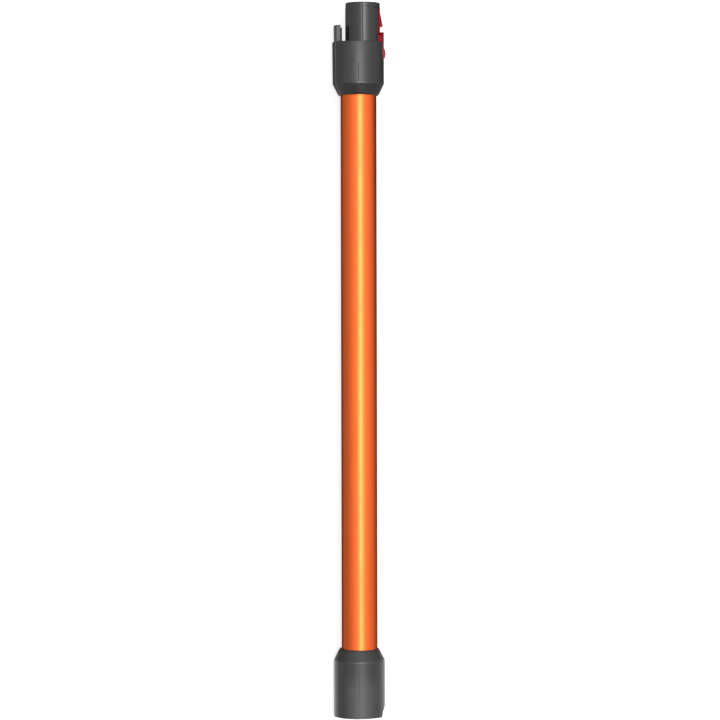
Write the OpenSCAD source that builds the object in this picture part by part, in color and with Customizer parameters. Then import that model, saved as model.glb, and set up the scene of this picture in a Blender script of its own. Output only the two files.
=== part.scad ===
// Quick-release extension wand of a stick vacuum cleaner, lying on its side.
// The pieces are drawn upright: z runs from the socket mouth (0) to the tip of
// the spigot, +x is the catch side and -y the front. lay_down() puts them to rest.

/* [Tube] */
// Outer diameter of the aluminium tube
tube_od = 36.8; // [36.4:0.1:37.2]
// Wall of the aluminium tube
tube_wall = 1.1; // [0.9:0.1:1.1]
// Length of the aluminium tube, most of it in view between the collars
tube_len = 600; // [300:10:800]

/* [Collars] */
// Radius of the round side of both collars
collar_r = 21.7; // [21.7:0.1:22.2]
// Distance from the tube's axis to the axis of spigot, socket and round collar side
offset_x = 4.4; // [4.2:0.1:4.4]
// Wall of the upper collar
collar_wall = 1.9; // [1.7:0.1:1.9]

/* [Spigot and socket] */
// Outer radius of the spigot
spigot_r = 17.8; // [17.6:0.05:17.8]
// Inner radius of the socket
socket_r = 17.95; // [17.95:0.05:18.1]
// Height of the spigot above the collar's rim, and depth of the socket
spigot_h = 40; // [40:0.5:44]
// Radius of the air way in the spigot
airway_r = 15.6; // [15:0.1:15.6]

/* [Catch] */
// Width of the catch's tongue and lever
catch_w = 17; // [15:0.5:17]
// How far the hook's tip stands out from the spigot
hook_out = 2.85; // [2.2:0.05:2.85]
// Radius of the hinge pin
pin_r = 1.25; // [1.1:0.05:1.25]

/* [Plug and wires] */
// Height of the plug post above the collar's rim
post_h = 17.3; // [15:0.1:17.4]
// Diameter of each wire over its insulation
wire_d = 2.4; // [1.8:0.1:2.4]
// Distance between the two contacts
contact_pitch = 8.4; // [8:0.1:8.6]

/* [Hidden] */
$fn = 96;

tube_r = tube_od / 2;
bore_r = tube_r - tube_wall;
cx = offset_x;
web_x = -13.2;           // outer side of the web that walls off the wire channel
web_t = 1.0;
z0 = 52;                 // lower end of the tube
zt = z0 + tube_len;      // upper end of the tube
rim = 38;                // collar rim above the tube's upper end
tip = rim + spigot_h;    // spigot tip above the tube's upper end
shoulder = -4.5;         // lower edge of the upper collar's parallel part
foot_r = 20.5;           // upper collar's radius where it meets the tube
low_shoulder = 57.4;
low_top = 69.5;
low_foot_r = 20.4;
low_foot_x = -0.8;       // the lower collar's foot sits a little towards the spine
nose_r = spigot_r - 0.2;
hinge_x = 18.4;
hinge_z = 11.5;          // above the tube's upper end
floor_x = 13.7;          // floor of the catch's pocket in the spigot
lever_back = 17.2;
win_z = 26.6;            // centre of the collar window's round end
pad_x = 27.9;
pad_y = 1.6;
pad_r = 5.4;
pad_z = 26.7;
contact_x = -20.2;
contact_y = contact_pitch / 2;
wire_x = -15.2;
wire_y = 2.2;
flank_a = 138.7;         // direction that the flat flank of both collars faces
roll = flank_a - 90;     // the wand comes to rest on that flank
screw_angles = [45, 85];
upper_screw_z = -11;
low_screw_z = 61;

// ---- collar section: a round catch side, a flatter front and back, a flat flank
// towards the spine on each side, and a bowed spine ----
crease = [-23, 12];
apex_x = -26.75;
spine_r = (pow(crease[0] - apex_x, 2) + pow(crease[1], 2)) / (2 * (crease[0] - apex_x));
spine_cx = apex_x + spine_r;
front_r = 31;
front_a = 53.75;         // direction at which the flatter arc takes over
bend_a = 116;            // and at which it bends into the flank
front_c = [cx, 0] + (collar_r - front_r) * dir(front_a);
flank_n = dir(flank_a);
flank_h = crease * flank_n;
bend_n = dir(bend_a);
bend_r = (flank_h - front_c * flank_n - front_r * (bend_n * flank_n))
         / (1 - bend_n * flank_n);
bend_c = front_c + (front_r - bend_r) * bend_n;

function dir(a) = [cos(a), sin(a)];

function sweep_arc(c, r, a, b, n, from = 0) =
    [for (i = [from:n]) c + r * dir(a + (b - a) * i / n)];

// Where flank and spine meet, both drawn inwards by g
function flank_end(g) =
    let (d = flank_h - g - spine_cx * flank_n[0], h = sqrt(pow(spine_r - g, 2) - d * d))
    [spine_cx, 0] + d * flank_n + h * [-flank_n[1], flank_n[0]];

function half_egg(g) =
    let (k = flank_end(g), s = atan2(k[1], k[0] - spine_cx))
    concat(sweep_arc([cx, 0], collar_r - g, 0, front_a, 20),
           sweep_arc(front_c, front_r - g, front_a, bend_a, 16, 1),
           sweep_arc(bend_c, bend_r - g, bend_a, flank_a, 8, 1),
           [k],
           sweep_arc([spine_cx, 0], spine_r - g, s, 180, 8, 1));

// Outline drawn inwards by g
function egg(g) =
    let (h = half_egg(g), n = len(h))
    concat(h, [for (i = [n - 2:-1:1]) [h[i][0], -h[i][1]]]);

function egg_ring(g, z) = [for (p = egg(g)) [p[0], p[1], z]];
function round_ring(r, z, x = 0) =
    [for (p = egg(0)) let (a = atan2(p[1], p[0] - x)) [x + r * cos(a), r * sin(a), z]];

// ---- resting place ----
function wx(p) = p[0] * cos(roll) + p[1] * sin(roll);
function wz(p) = p[0] * sin(roll) - p[1] * cos(roll);
outline = concat(egg(0), [[pad_x - 0.66, pad_y + pad_r]]);
shift_x = -(max([for (p = outline) wx(p)]) + min([for (p = outline) wx(p)])) / 2;
shift_z = -min([for (p = egg(0)) wz(p)]);

module lay_down() {
    translate([shift_x, -(zt + tip) / 2, shift_z])
        rotate([0, -roll, 0]) rotate([-90, 0, 0]) children();
}
// Pieces of the machine end are measured from the tube's upper end
module at_top() { lay_down() translate([0, 0, zt]) children(); }

// ---- shared shapes ----
module skin(rings) {
    n = len(rings[0]);
    m = len(rings);
    polyhedron([for (g = rings) each g],
        concat([[for (k = [0:n - 1]) k]],
               [for (i = [0:m - 2], k = [0:n - 1])
                   [i * n + k, (i + 1) * n + k, (i + 1) * n + (k + 1) % n]],
               [for (i = [0:m - 2], k = [0:n - 1])
                   [i * n + k, (i + 1) * n + (k + 1) % n, i * n + (k + 1) % n]],
               [[for (k = [n - 1:-1:0]) (m - 1) * n + k]]));
}

function unit(v) = v / norm(v);
module sweep(path, r, n, ref) {
    last = len(path) - 1;
    skin([for (i = [0:last])
        let (t = unit(path[min(i + 1, last)] - path[max(i - 1, 0)]),
             u = unit(cross(ref, t)), v = cross(t, u))
        [for (k = [0:n - 1]) path[i] + r * (cos(360 * k / n) * u + sin(360 * k / n) * v)]]);
}

module box(x0, x1, y0, y1, h0, h1) {
    translate([x0, y0, h0]) cube([x1 - x0, y1 - y0, h1 - h0]);
}
module disc(c, r, h0, h1) { translate([c, 0, h0]) cylinder(r = r, h = h1 - h0); }

// Closed section cut off by a flat at x
module flat_disc(c, r, x, h0, h1) {
    intersection() {
        disc(c, r, h0, h1);
        box(x, 40, -40, 40, h0 - 1, h1 + 1);
    }
}
// Rod across the wand, along x, at height h
module x_rod(r, h, x0, x1, y = 0) {
    translate([x0, y, h]) rotate([0, 90, 0]) cylinder(r = r, h = x1 - x0);
}
// Rod across the wand, along y
module y_rod(r, x, h, y0, y1) {
    translate([x, y1, h]) rotate([90, 0, 0]) cylinder(r = r, h = y1 - y0);
}
// Rod along a radius of the tube
module radial_rod(a, r, h, r0, r1) {
    rotate([0, 0, a]) translate([r0, 0, h]) rotate([0, 90, 0]) cylinder(r = r, h = r1 - r0);
}
module screw_holes(h, r0, r1) {
    for (a = screw_angles) radial_rod(a, 1.3, h, r0, r1);
}
module screw(a, h, seat) {
    difference() {
        union() {
            radial_rod(a, 1.25, h, 14.6, seat + 0.2);
            radial_rod(a, 2.3, h, seat, seat + 1.1);
        }
        rotate([0, 0, a]) translate([seat + 0.5, -1.4, h - 0.3]) cube([1, 2.8, 0.6]);
        rotate([0, 0, a]) translate([seat + 0.5, -0.3, h - 1.4]) cube([1, 0.6, 2.8]);
    }
}
// Catch lever outline seen from its outer side: round at the bottom, arched at the top
module lever_outline(x0, x1, half, arch_r, arch_z) {
    intersection() {
        union() {
            x_rod(half, win_z, x0, x1);
            box(x0, x1, -half, half, win_z, arch_z + arch_r);
        }
        union() {
            x_rod(arch_r, arch_z, x0 - 1, x1 + 1);
            box(x0 - 1, x1 + 1, -20, 20, 0, arch_z);
        }
    }
}
module post_outline(g, x1, h0, h1) {
    intersection() {
        disc(-9.8, 15.5 + g, h0, h1);
        box(-27, x1, -9.4 - g, 9.4 + g, h0 - 1, h1 + 1);
    }
}
// Rubber plug for the wire channel, with its flange on the tube's end
module channel_grommet(h0, f0, f1) {
    difference() {
        union() {
            intersection() {
                disc(0, bore_r - 0.2, h0, f1);
                box(-30, web_x - 0.15, -30, 30, h0 - 1, f1 + 1);
            }
            intersection() {
                disc(0, tube_r - 0.1, f0, f1);
                box(-30, web_x + 0.1, -30, 30, f0 - 1, f1 + 1);
            }
        }
        for (s = [-1, 1]) translate([wire_x, s * wire_y, -10])
            cylinder(r = wire_d / 2 + 0.05, h = 90);
    }
}

// ---- tube ----
module tube() {
    color("#d2622f") lay_down() difference() {
        union() {
            difference() {
                disc(0, tube_r, z0, zt);
                disc(0, bore_r, z0 - 1, zt + 1);
            }
            intersection() {
                disc(0, bore_r + 0.4, z0, zt);
                box(web_x, web_x + web_t, -20, 20, z0 - 1, zt + 1);
            }
        }
        screw_holes(zt + upper_screw_z, 15, 20);
        screw_holes(low_screw_z, 15, 20);
    }
}

// ---- machine end ----
module upper_collar() {
    color("#3b3b3c") at_top() difference() {
        union() {
            translate([0, 0, shoulder]) linear_extrude(rim - shoulder) polygon(egg(0));
            skin([round_ring(foot_r, -16.1), egg_ring(0, shoulder)]);
        }
        disc(0, tube_r + 0.1, -18, 0.3);
        translate([0, 0, 0.2]) linear_extrude(rim) polygon(egg(collar_wall));
        x_rod(catch_w / 2 + 0.7, win_z, 15, 30);
        box(15, 30, -catch_w / 2 - 0.7, catch_w / 2 + 0.7, win_z, rim + 1);
        screw_holes(upper_screw_z, 17, 30);
        for (a = screw_angles) radial_rod(a, 2.6, upper_screw_z, 19.4, 30);
    }
}

module spigot_duct() {
    lug = 7.1;
    color("#444446") at_top() {
        difference() {
            union() {
                disc(cx, spigot_r, 2, tip - 4.8);
                // lead-in nose, a shade slimmer than the rest
                translate([cx, 0, tip - 4.8])
                    cylinder(r1 = spigot_r, r2 = nose_r, h = 0.4);
                disc(cx, nose_r, tip - 4.4, tip - 0.4);
                translate([cx, 0, tip - 0.4])
                    cylinder(r1 = nose_r, r2 = nose_r - 0.4, h = 0.4);
                translate([0, 0, 1.2]) linear_extrude(3) polygon(egg(collar_wall + 0.2));
                translate([0, 0, rim - 3.2]) linear_extrude(2.8)
                    polygon(egg(collar_wall + 0.2));
                flat_disc(0, bore_r - 0.15, web_x + web_t + 0.25, -28, 2);
            }
            flat_disc(0, airway_r - 0.1, -10.3, -29, 4.2);
            intersection() {
                disc(cx, airway_r, 4.2, tip - 3);
                box(-20, floor_x - 1.2, -20, 20, 4, tip - 3);
            }
            disc(cx, airway_r, tip - 3, tip + 1);
            box(floor_x, 30, -catch_w / 2 - 0.6, catch_w / 2 + 0.6, 5.5, tip - 5);
            box(-23, web_x - 0.3, -5.5, 5.5, 0, 5);
            box(-22.4, -17.5, -6.6, 6.6, rim - 4, rim);
            screw_holes(upper_screw_z, 10, 20);
            y_rod(0.6, cx - 1.5, tip - 2.4, -20, -spigot_r + 0.5);
            y_rod(pin_r + 0.02, hinge_x, hinge_z, -10.1, 10.1);
        }
        difference() {
            for (s = [-1, 1]) {
                box(floor_x - 0.5, hinge_x, min(s * lug, s * 10), max(s * lug, s * 10),
                    hinge_z - 2.5, hinge_z + 2.5);
                y_rod(2.6, hinge_x, hinge_z, min(s * lug, s * 10), max(s * lug, s * 10));
            }
            y_rod(pin_r + 0.02, hinge_x, hinge_z, -11, 11);
        }
    }
}

module release_catch() {
    half = catch_w / 2;
    color("#a3181f") at_top() difference() {
        union() {
            // lever, flush with the collar, and its arched top
            intersection() {
                disc(cx, collar_r + 0.05, 17, 50);
                lever_outline(lever_back, 30, half + 0.1, 10.3, 38.2);
            }
            // tongue that lies in the spigot's skin
            intersection() {
                difference() {
                    disc(cx, spigot_r, rim - 8, tip - 5.5);
                    disc(cx, spigot_r - 1.6, rim - 9, tip - 5);
                }
                box(lever_back - 5, 30, -half, half, rim - 8, tip - 5.5);
            }
            // hook
            intersection() {
                translate([cx, 0, 0]) rotate_extrude()
                    polygon([[spigot_r - 1.4, rim + 16.2], [spigot_r + hook_out, rim + 16.2],
                             [spigot_r, rim + 30.6], [spigot_r - 1.4, rim + 30.6]]);
                box(15, 30, -6.8, 6.8, rim + 16, rim + 31);
            }
            // finger pad
            intersection() {
                union() {
                    for (s = [-1, 1]) x_rod(pad_r, pad_z, 22, pad_x, s * pad_y);
                    box(22, pad_x, -pad_y, pad_y, pad_z - pad_r, pad_z + pad_r);
                }
                translate([pad_x - 11, 0, pad_z]) sphere(r = 11);
            }
            // stem down to the hinge
            box(16.6, 21.2, -6.8, 6.8, hinge_z, 20.5);
            y_rod(2.6, hinge_x, hinge_z, -6.8, 6.8);
        }
        y_rod(pin_r + 0.05, hinge_x, hinge_z, -8, 8);
        x_rod(3.0, 26, 16, 21.5);
    }
}

module catch_pin() {
    color("#b8babd") at_top() y_rod(pin_r, hinge_x, hinge_z, -9.9, 9.9);
}

module catch_spring() {
    turns = 5;
    color("#c9cbce") at_top() sweep(
        [for (i = [0:turns * 14]) let (f = i / (turns * 14), a = 360 * turns * f)
            [floor_x + 0.3 + (21.5 - floor_x - 0.6) * f, 2.25 * cos(a), 26 + 2.25 * sin(a)]],
        0.25, 6, [1, 0, 0]);
}

module plug_body() {
    color("#77787a") at_top() difference() {
        union() {
            post_outline(0, -18.1, rim + 0.1, rim + post_h);
            box(-18.2, -16.8, -3, 3, rim + 0.1, rim + post_h - 2);
            box(-22.3, -17.6, -6.5, 6.5, 21, rim + 0.2);
        }
        // grooves for the retainer
        for (s = [-1, 1])
            box(-24, -16, min(s * 6, s * 8), max(s * 6, s * 8), rim - 4.9, rim - 3.2);
        for (s = [-1, 1]) translate([contact_x, s * contact_y, 20])
            cylinder(r = 1.55, h = 60);
    }
}

module plug_retainer() {
    color("#d8d8d4") at_top() difference() {
        intersection() {
            box(-23.4, -14.4, -9, 9, rim - 4.8, rim - 3.3);
            translate([0, 0, rim - 6]) linear_extrude(4) polygon(egg(collar_wall + 0.3));
        }
        box(-22.4, -14, -6.1, 6.1, rim - 5, rim - 3);
    }
}

module plug_terminal(s) {
    color("#c9a24a") at_top() translate([contact_x, s * contact_y, 0]) difference() {
        disc(0, 1.5, 19, rim + post_h - 1.2);
        disc(0, 1.0, rim, rim + post_h);
        disc(0, 1.0, 18, 20.5);
    }
}
module plug_terminal_left() { plug_terminal(-1); }
module plug_terminal_right() { plug_terminal(1); }

module upper_seal() {
    color("#202020") at_top() difference() {
        flat_disc(0, tube_r - 0.1, web_x + 0.2, 0.02, 1.15);
        flat_disc(0, bore_r - 0.05, web_x + web_t + 0.15, -1, 2);
    }
}

module upper_grommet() {
    color("#1c1c1c") at_top() channel_grommet(-7, 0.02, 1.15);
}

module upper_screws() {
    color("#8d9094") at_top() for (a = screw_angles) screw(a, upper_screw_z, 19.4);
}

// ---- wires: round numbers, held all the way from the pins to the plug ----
function wire_route(s) = [
    [contact_x, s * contact_y, 43.6],
    [contact_x, s * contact_y, 44.6],
    [-19.8, s * 4.0, 45.8],
    [-18.4, s * 3.2, 47.6],
    [-16.4, s * 2.5, 49.2],
    [wire_x, s * wire_y, 50.6],
    [wire_x, s * wire_y, 54],
    [wire_x, s * wire_y, 120],
    [wire_x, s * wire_y, zt - 60],
    [wire_x, s * wire_y, zt],
    [-15.4, s * wire_y, zt + 5],
    [-16.6, s * 2.6, zt + 9],
    [-18.4, s * 3.4, zt + 12.5],
    [-19.7, s * 4.0, zt + 15.5],
    [contact_x, s * contact_y, zt + 18],
    [contact_x, s * contact_y, zt + 19]];
module wire(s) { lay_down() sweep(wire_route(s), wire_d / 2, 8, [0, 1, 0]); }
module wire_left() { color("#b02020") wire(-1); }
module wire_right() { color("#1d1d1f") wire(1); }

// ---- tool end ----
// Arch at the mouth that takes the top of a catch lever, and the hook's window
module mouth_arch() { x_rod(10.8, 0.2, 15, 30); }
module hook_window() {
    intersection() {
        disc(cx, spigot_r + hook_out + 0.3, 15.9, 32);
        box(15, 30, -7.2, 7.2, 15.9, 32);
    }
}

module lower_collar() {
    color("#3b3b3c") lay_down() difference() {
        union() {
            linear_extrude(low_shoulder) polygon(egg(0));
            skin([egg_ring(0, low_shoulder), round_ring(low_foot_r, low_top, low_foot_x)]);
        }
        disc(cx, 19.65, -1, z0 - 1.2);
        disc(0, tube_r + 0.1, z0 - 1.2, low_top + 1);
        post_outline(0.35, -16.1, -1, 44);
        box(-23, web_x - 0.4, -5.5, 5.5, 40, z0);
        hook_window();
        mouth_arch();
        screw_holes(low_screw_z, 17, 30);
        for (a = screw_angles) radial_rod(a, 2.6, low_screw_z, 19.5, 30);
    }
}

module socket_duct() {
    color("#4a4a4c") lay_down() difference() {
        union() {
            disc(cx, 19.55, 1, z0 - 1.3);
            intersection() {
                flat_disc(0, bore_r - 0.15, web_x + web_t + 0.25, z0 - 1.4, z0 + 28);
                disc(cx, 18.5, z0 - 3, z0 + 29);
            }
        }
        disc(cx, socket_r, 0, spigot_h - 1.4);
        disc(cx, socket_r + 0.3, spigot_h - 1.4, spigot_h);
        disc(cx, airway_r, spigot_h - 1, z0 - 5);
        intersection() {
            flat_disc(0, airway_r - 0.1, -10.3, z0 - 5.5, z0 + 29);
            disc(cx, 17, z0 - 6, z0 + 30);
        }
        box(-23, web_x - 0.2, -5.5, 5.5, 43, z0);
        hook_window();
        mouth_arch();
        screw_holes(low_screw_z, 10, 20);
    }
}

module socket_lip_seal() {
    color("#1c1c1c") lay_down() translate([cx, 0, 0]) rotate_extrude()
        polygon([[socket_r + 0.25, spigot_h - 1.38], [socket_r + 0.25, spigot_h - 0.02],
                 [airway_r + 0.2, spigot_h - 0.02], [airway_r + 0.2, spigot_h - 0.5],
                 [airway_r + 1.3, spigot_h - 1.38]]);
}

module lower_seal() {
    color("#202020") lay_down() difference() {
        intersection() {
            flat_disc(0, tube_r - 0.1, web_x + 0.2, z0 - 1.18, z0 - 0.02);
            disc(cx, 19.45, z0 - 2, z0 + 1);
        }
        intersection() {
            flat_disc(0, bore_r - 0.05, web_x + web_t + 0.15, z0 - 3, z0 + 2);
            disc(cx, 18.6, z0 - 4, z0 + 3);
        }
    }
}

module pin_carrier() {
    color("#2c2c2e") lay_down() difference() {
        post_outline(0.25, -16.2, 17.8, 40);
        for (s = [-1, 1]) translate([contact_x, s * contact_y, 10])
            cylinder(r = 0.97, h = 40);
    }
}

module contact_pin(s) {
    color("#c9a24a") lay_down() translate([contact_x, s * contact_y, 0]) {
        disc(0, 0.95, 6.8, 43.6);
        translate([0, 0, 6.3]) cylinder(r1 = 0.5, r2 = 0.95, h = 0.5);
    }
}
module contact_pin_left() { contact_pin(-1); }
module contact_pin_right() { contact_pin(1); }

module lower_grommet() {
    color("#1c1c1c") lay_down() translate([0, 0, z0])
        mirror([0, 0, 1]) channel_grommet(-7, 0.02, 1.1);
}

module lower_screws() {
    color("#8d9094") lay_down() for (a = screw_angles) screw(a, low_screw_z, 19.5);
}

tube();
upper_collar();
spigot_duct();
release_catch();
catch_pin();
catch_spring();
plug_body();
plug_retainer();
plug_terminal_left();
plug_terminal_right();
upper_seal();
upper_grommet();
upper_screws();
wire_left();
wire_right();
lower_collar();
socket_duct();
socket_lip_seal();
lower_seal();
pin_carrier();
contact_pin_left();
contact_pin_right();
lower_grommet();
lower_screws();
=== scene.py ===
"""Extension wand of a stick vacuum cleaner, lying on a pale studio floor and seen square to its front."""
import bpy, bmesh, math
from mathutils import Vector, Matrix

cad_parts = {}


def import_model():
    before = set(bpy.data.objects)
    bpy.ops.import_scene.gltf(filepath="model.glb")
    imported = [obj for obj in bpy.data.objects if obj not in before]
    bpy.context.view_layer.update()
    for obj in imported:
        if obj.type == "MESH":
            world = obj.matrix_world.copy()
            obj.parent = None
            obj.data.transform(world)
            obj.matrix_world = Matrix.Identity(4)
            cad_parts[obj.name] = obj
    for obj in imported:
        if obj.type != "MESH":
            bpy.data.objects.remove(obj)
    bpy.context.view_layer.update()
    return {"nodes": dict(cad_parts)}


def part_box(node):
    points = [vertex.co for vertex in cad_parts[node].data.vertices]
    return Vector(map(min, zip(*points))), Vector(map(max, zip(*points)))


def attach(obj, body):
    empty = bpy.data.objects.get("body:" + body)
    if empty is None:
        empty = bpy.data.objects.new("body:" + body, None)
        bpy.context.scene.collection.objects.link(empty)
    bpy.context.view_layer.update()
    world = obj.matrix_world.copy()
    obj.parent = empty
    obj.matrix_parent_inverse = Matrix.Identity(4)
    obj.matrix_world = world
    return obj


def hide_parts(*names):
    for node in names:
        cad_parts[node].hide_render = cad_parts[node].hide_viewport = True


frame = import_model()

# ------------------------------------------------------------------ frame of the wand
# Millimetres along the wand's own axes: u across towards the catch, v to the back, w from the
# socket's mouth to the spigot's tip. The frame holds the wand rolled onto its flank.
ROLL = math.radians(48.7)
CR, SR = math.cos(ROLL), math.sin(ROLL)
t_lo, t_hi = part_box("tube")
AX = (t_lo.x + t_hi.x) / 2 if hasattr(t_lo, "x") else (t_lo[0] + t_hi[0]) / 2
AZ = (t_lo.z + t_hi.z) / 2 if hasattr(t_lo, "z") else (t_lo[2] + t_hi[2]) / 2
AY = t_lo[1] - 0.052


def world(u, v, w):
    return Vector(((u * CR + v * SR) / 1000 + AX, w / 1000 + AY, (u * SR - v * CR) / 1000 + AZ))


def direction(u, v, w):
    return Vector((u * CR + v * SR, w, u * SR - v * CR))


TO_WORLD = Matrix((
    (CR / 1000, SR / 1000, 0, AX),
    (0, 0, 1 / 1000, AY),
    (SR / 1000, -CR / 1000, 0, AZ),
    (0, 0, 0, 1)))

# main dimensions, millimetres, the same as in the frame
CX = 4.4
TUBE_R, BORE_R = 18.4, 17.3
TUBE0, TUBE1 = 52.0, 652.0
COLLAR_R = 21.7
FRONT_R, FRONT_A, BEND_A, FLANK_A = 31.0, 53.75, 116.0, 138.7
CREASE, APEX = (-23.0, 12.0), -26.75
RIM = 690.0
TIP = 730.0
SPIGOT_R, NOSE_R, AIR_R, SOCKET_R = 17.8, 17.6, 15.6, 17.95
HINGE = (18.4, 663.5)

# camera: distance, place along and across the wand, tilt towards its middle and roll
CAM_D, CAM_W, CAM_U, CAM_PITCH, CAM_TILT, LENS = 2700.0, 425.0, 0.99, 1.2600, 0.124, 131.80


# ------------------------------------------------------------------ materials
def new_material(name):
    m = bpy.data.materials.new(name)
    m.use_nodes = True
    nt = m.node_tree
    nt.nodes.clear()
    out = nt.nodes.new("ShaderNodeOutputMaterial")
    bsdf = nt.nodes.new("ShaderNodeBsdfPrincipled")
    nt.links.new(bsdf.outputs[0], out.inputs["Surface"])
    return m, nt, bsdf


def coords(nt, scale):
    tc = nt.nodes.new("ShaderNodeTexCoord")
    mp = nt.nodes.new("ShaderNodeMapping")
    mp.inputs["Scale"].default_value = scale
    nt.links.new(tc.outputs["Object"], mp.inputs["Vector"])
    return mp.outputs["Vector"]


def noise(nt, vector, scale, detail=3.0, rough=0.55):
    n = nt.nodes.new("ShaderNodeTexNoise")
    n.inputs["Scale"].default_value = scale
    n.inputs["Detail"].default_value = detail
    n.inputs["Roughness"].default_value = rough
    nt.links.new(vector, n.inputs["Vector"])
    return n.outputs["Fac"]


def ramp(nt, fac, stops, interpolation="LINEAR"):
    r = nt.nodes.new("ShaderNodeValToRGB")
    r.color_ramp.interpolation = interpolation
    els = r.color_ramp.elements
    while len(els) > 1:
        els.remove(els[-1])
    els[0].position = stops[0][0]
    els[0].color = (*stops[0][1], 1) if len(stops[0][1]) == 3 else stops[0][1]
    for pos, col in stops[1:]:
        e = els.new(pos)
        e.color = (*col, 1)
    nt.links.new(fac, r.inputs["Fac"])
    return r.outputs["Color"]


def map_range(nt, value, a, b, c, d):
    m = nt.nodes.new("ShaderNodeMapRange")
    m.inputs["From Min"].default_value = a
    m.inputs["From Max"].default_value = b
    m.inputs["To Min"].default_value = c
    m.inputs["To Max"].default_value = d
    nt.links.new(value, m.inputs["Value"])
    return m.outputs["Result"]


def bump(nt, bsdf, height, strength, distance):
    b = nt.nodes.new("ShaderNodeBump")
    b.inputs["Strength"].default_value = strength
    b.inputs["Distance"].default_value = distance
    nt.links.new(height, b.inputs["Height"])
    nt.links.new(b.outputs["Normal"], bsdf.inputs["Normal"])
    return b


def attribute(nt, name):
    a = nt.nodes.new("ShaderNodeAttribute")
    a.attribute_type = "GEOMETRY"
    a.attribute_name = name
    return a.outputs["Fac"]


def painted_front_highlight(nt, slow, weight):
    """Painted highlight: a soft, uneven band across the tool collar's front and back, paler towards its mouth, drawn in
    the part's own frame.
    """
    tc = nt.nodes.new("ShaderNodeTexCoord")
    total = map_range(nt, slow, 0.3, 0.7, 0.44, 0.56)
    for axis, origin, limits in (((0, 1, 0), AY, ((0.050, 0.026),)), ((CR, 0, SR), CR * AX + SR * AZ, ((-0.018, -0.005), (0.023, 0.009)))):
        d = nt.nodes.new("ShaderNodeVectorMath")
        d.operation = "DOT_PRODUCT"
        nt.links.new(tc.outputs["Object"], d.inputs[0])
        d.inputs[1].default_value = axis
        for a, b_ in limits:
            m = nt.nodes.new("ShaderNodeMapRange")
            m.interpolation_type = "SMOOTHSTEP"
            m.inputs["From Min"].default_value = origin + a
            m.inputs["From Max"].default_value = origin + b_
            nt.links.new(d.outputs["Value"], m.inputs["Value"])
            product = nt.nodes.new("ShaderNodeMath")
            product.operation = "MULTIPLY"
            nt.links.new(total, product.inputs[0])
            nt.links.new(m.outputs["Result"], product.inputs[1])
            total = product.outputs[0]
    scaled = nt.nodes.new("ShaderNodeMath")
    scaled.operation = "MULTIPLY"
    nt.links.new(total, scaled.inputs[0])
    scaled.inputs[1].default_value = weight
    return scaled.outputs[0]


def plastic(name, dark, light, rough, grain=2600, depth=0.00003, strength=0.25, spec=0.5, patch=55, coat=0.0, sheen=0.0,
            tint=(1, 1, 1), sheen_rough=0.35, painted_light_colour=None, dusty=False, front_highlight=0.0):
    """Moulded plastic: a spark-eroded grain, slow colour drift and a little uneven gloss. A painted highlight in the
    given light colour lies along its creases and across its shoulders, which are also smoother, and optionally a
    painted highlight band on its front; dusty lays a thin bloom on it."""
    m, nt, b = new_material(name)
    v = coords(nt, (1, 1, 1))
    slow = noise(nt, v, patch, 2.0)
    fine = noise(nt, v, grain, 2.0, 0.6)
    mix = nt.nodes.new("ShaderNodeMath")
    mix.operation = "MULTIPLY_ADD"
    nt.links.new(fine, mix.inputs[0])
    mix.inputs[1].default_value = 0.35
    nt.links.new(slow, mix.inputs[2])
    colour = ramp(nt, mix.outputs[0], [(0.45, dark), (0.95, light)])
    gloss = map_range(nt, slow, 0.3, 0.7, rough - 0.03, rough + 0.04)
    # painted highlight: the colour is mixed towards the given light colour along the creases and across the shoulder,
    # standing in for light caught there
    if painted_light_colour:
        painted_light_mix = nt.nodes.new("ShaderNodeMix")
        painted_light_mix.data_type = "RGBA"
        total = nt.nodes.new("ShaderNodeMath")
        total.operation = "MULTIPLY_ADD"
        nt.links.new(attribute(nt, "shoulder"), total.inputs[0])
        total.inputs[1].default_value = 0.30
        nt.links.new(attribute(nt, "crease"), total.inputs[2])
        nt.links.new(total.outputs[0], painted_light_mix.inputs[0])
        # painted highlight: a broad band across the front is mixed in too
        if front_highlight:
            both = nt.nodes.new("ShaderNodeMath")
            both.operation = "ADD"
            both.use_clamp = True
            nt.links.new(total.outputs[0], both.inputs[0])
            nt.links.new(painted_front_highlight(nt, slow, front_highlight), both.inputs[1])
            nt.links.new(both.outputs[0], painted_light_mix.inputs[0])
        nt.links.new(colour, painted_light_mix.inputs[6])
        painted_light_mix.inputs[7].default_value = (*painted_light_colour, 1)
        colour = painted_light_mix.outputs[2]
        smooth = nt.nodes.new("ShaderNodeMath")
        smooth.operation = "MULTIPLY_ADD"
        nt.links.new(attribute(nt, "shoulder"), smooth.inputs[0])
        smooth.inputs[1].default_value = -0.20
        nt.links.new(gloss, smooth.inputs[2])
        gloss = smooth.outputs[0]
    nt.links.new(colour, b.inputs["Base Color"])
    nt.links.new(gloss, b.inputs["Roughness"])
    b.inputs["Specular IOR Level"].default_value = spec
    b.inputs["Coat Weight"].default_value = coat
    b.inputs["Coat Roughness"].default_value = 0.12
    if dusty:
        nt.links.new(attribute(nt, "dust"), b.inputs["Sheen Weight"])
    else:
        b.inputs["Sheen Weight"].default_value = sheen
    b.inputs["Sheen Roughness"].default_value = sheen_rough
    b.inputs["Sheen Tint"].default_value = (*tint, 1)
    bump(nt, b, fine, strength, depth)
    return m


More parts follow.
